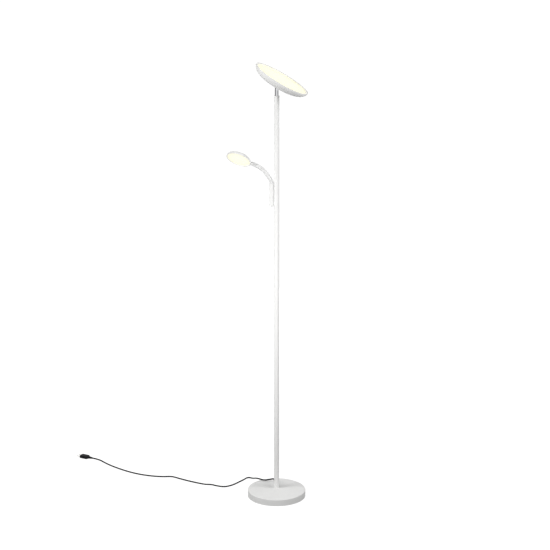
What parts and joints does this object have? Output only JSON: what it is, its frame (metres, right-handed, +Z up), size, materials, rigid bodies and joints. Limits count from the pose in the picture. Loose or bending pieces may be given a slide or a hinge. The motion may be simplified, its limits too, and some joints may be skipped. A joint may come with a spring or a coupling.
{
  "type": "floor lamp with reading light",
  "caption": "White floor lamp: round weighted base, slim pole, tilting dish uplighter on a chrome neck and a gooseneck reading light on a side sleeve, with a black mains lead.",
  "frame": {"origin": "centre of the base's underside, on the floor", "axes": "+Z up along the pole, -X towards the reading light, +Y to the rear, where the lead leaves"},
  "size_m": [1.0173, 0.5782, 1.8685],
  "materials": {
    "white_paint": "satin powder coat",
    "white_alloy": "die-cast, satin white powder coat",
    "goose_white": "white ribbed sleeve over a steel spiral",
    "chrome": "polished plate",
    "zinc_steel": "zinc plated",
    "cast_iron": "as cast, painted",
    "pad_rubber": "foam pad",
    "black_pvc": "soft PVC",
    "nickel_pin": "nickel plated",
    "lead_sheath": "thin PVC",
    "white_plastic": "moulded",
    "black_plastic": "moulded",
    "board_white": "aluminium-core circuit board with white mask",
    "led_yellow": "phosphor resin",
    "opal": "opal acrylic, lit warm white"
  },
  "bodies": {
    "stand": {"base_cover": "white_paint", "base_weight": "cast_iron", "base_pad": "pad_rubber", "foot_bolt": "zinc_steel", "foot_washer": "zinc_steel", "pole_foot_insert": "zinc_steel", "strain_relief": "black_pvc", "mains_cord": "black_pvc", "mains_plug_body": "black_pvc", "mains_plug_pins": "nickel_pin", "pole_section_1": "white_paint", "pole_section_2": "white_paint", "pole_section_3": "white_paint", "pole_section_top": "white_paint", "pole_couplers": "zinc_steel", "pole_lead": "lead_sheath", "lead_connector": "white_plastic", "pole_top_bush": "white_plastic", "arm_spacer": "white_paint", "arm_nipple": "zinc_steel", "arm_nipple_nuts": "zinc_steel", "arm_sleeve": "white_paint", "switch_body": "black_plastic", "gooseneck_root": "goose_white"},
    "neck": {"neck": "chrome", "neck_retainer": "zinc_steel", "hinge_pin": "chrome", "hinge_nut": "chrome", "hinge_washers": "zinc_steel"},
    "dish": {"dish_bracket": "zinc_steel", "dish_bracket_screws": "zinc_steel", "dish_shell": "white_paint", "dish_led_board": "board_white", "dish_led_chips": "led_yellow", "board_standoffs": "zinc_steel", "board_screws": "zinc_steel", "dish_driver": "white_plastic", "dish_diffuser": "opal", "dish_rim": "white_paint"},
    "switch_button": {"switch_button": "white_plastic"},
    "link_01": {"gooseneck_link_01": "goose_white"},
    "link_02": {"gooseneck_link_02": "goose_white"},
    "link_03": {"gooseneck_link_03": "goose_white"},
    "link_04": {"gooseneck_link_04": "goose_white"},
    "link_05": {"gooseneck_link_05": "goose_white"},
    "link_06": {"gooseneck_link_06": "goose_white"},
    "link_07": {"gooseneck_link_07": "goose_white"},
    "link_08": {"gooseneck_link_08": "goose_white"},
    "link_09": {"gooseneck_link_09": "goose_white"},
    "link_10": {"gooseneck_link_10": "goose_white"},
    "reader": {"reader_ferrule": "white_paint", "reader_ferrule_nut": "zinc_steel", "reader_shell": "white_alloy", "reader_led_board": "board_white", "reader_led_chips": "led_yellow", "reader_diffuser": "opal", "reader_rim": "white_plastic", "reader_screws": "zinc_steel"}
  },
  "joints": [
    {"name": "head_swivel", "type": "hinge", "parent": "stand", "child": "neck", "pos_m": [0, 0, 1.738], "axis": [0, 0, 1], "range_deg": [-165, 165]},
    {"name": "head_tilt", "type": "hinge", "parent": "neck", "child": "dish", "pos_m": [0, 0, 1.7702], "axis": [0, 1, 0], "range_deg": [-105, 45]},
    {"name": "switch_press", "type": "slide", "parent": "stand", "child": "switch_button", "axis": [0, 0, 1], "range_m": [0, 0.0015], "stiffness_N_per_m": 600, "springref_m": -0.002},
    {"name": "goose_bend_1", "type": "hinge", "parent": "stand", "child": "link_01", "pos_m": [-0.0209, 0, 1.3755], "axis": [0, -1, 0], "range_deg": [-7, 10]},
    {"name": "goose_sway_1", "type": "hinge", "parent": "link_01", "child": "link_02", "pos_m": [-0.02433, 0, 1.38606], "axis": [0.8572, 0, 0.515], "range_deg": [-9, 9]},
    {"name": "goose_bend_2", "type": "hinge", "parent": "link_02", "child": "link_03", "pos_m": [-0.03005, 0, 1.39557], "axis": [0, -1, 0], "range_deg": [-7, 10]},
    {"name": "goose_sway_2", "type": "hinge", "parent": "link_03", "child": "link_04", "pos_m": [-0.03593, 0, 1.40498], "axis": [0.8192, 0, 0.5736], "range_deg": [-9, 9]},
    {"name": "goose_bend_3", "type": "hinge", "parent": "link_04", "child": "link_05", "pos_m": [-0.0423, 0, 1.41408], "axis": [0, -1, 0], "range_deg": [-7, 10]},
    {"name": "goose_sway_3", "type": "hinge", "parent": "link_05", "child": "link_06", "pos_m": [-0.04958, 0, 1.42245], "axis": [0.7071, 0, 0.7071], "range_deg": [-9, 9]},
    {"name": "goose_bend_4", "type": "hinge", "parent": "link_06", "child": "link_07", "pos_m": [-0.05743, 0, 1.4303], "axis": [0, -1, 0], "range_deg": [-7, 10]},
    {"name": "goose_sway_4", "type": "hinge", "parent": "link_07", "child": "link_08", "pos_m": [-0.06605, 0, 1.43729], "axis": [0.5446, 0, 0.8387], "range_deg": [-9, 9]},
    {"name": "goose_bend_5", "type": "hinge", "parent": "link_08", "child": "link_09", "pos_m": [-0.07536, 0, 1.44333], "axis": [0, -1, 0], "range_deg": [-7, 10]},
    {"name": "goose_sway_5", "type": "hinge", "parent": "link_09", "child": "link_10", "pos_m": [-0.08516, 0, 1.44855], "axis": [0.4067, 0, 0.9135], "range_deg": [-9, 9]},
    {"name": "reader_turn", "type": "hinge", "parent": "link_10", "child": "reader", "pos_m": [-0.0953, 0, 1.45306], "axis": [-0.9135, 0, 0.4067], "range_deg": [-128, 52]}
  ],
  "couplings": [
    {"joint": "goose_bend_2", "follows": "goose_bend_1", "ratio": 1},
    {"joint": "goose_sway_2", "follows": "goose_sway_1", "ratio": 1},
    {"joint": "goose_bend_3", "follows": "goose_bend_1", "ratio": 1},
    {"joint": "goose_sway_3", "follows": "goose_sway_1", "ratio": 1},
    {"joint": "goose_bend_4", "follows": "goose_bend_1", "ratio": 1},
    {"joint": "goose_sway_4", "follows": "goose_sway_1", "ratio": 1},
    {"joint": "goose_bend_5", "follows": "goose_bend_1", "ratio": 1},
    {"joint": "goose_sway_5", "follows": "goose_sway_1", "ratio": 1}
  ]
}
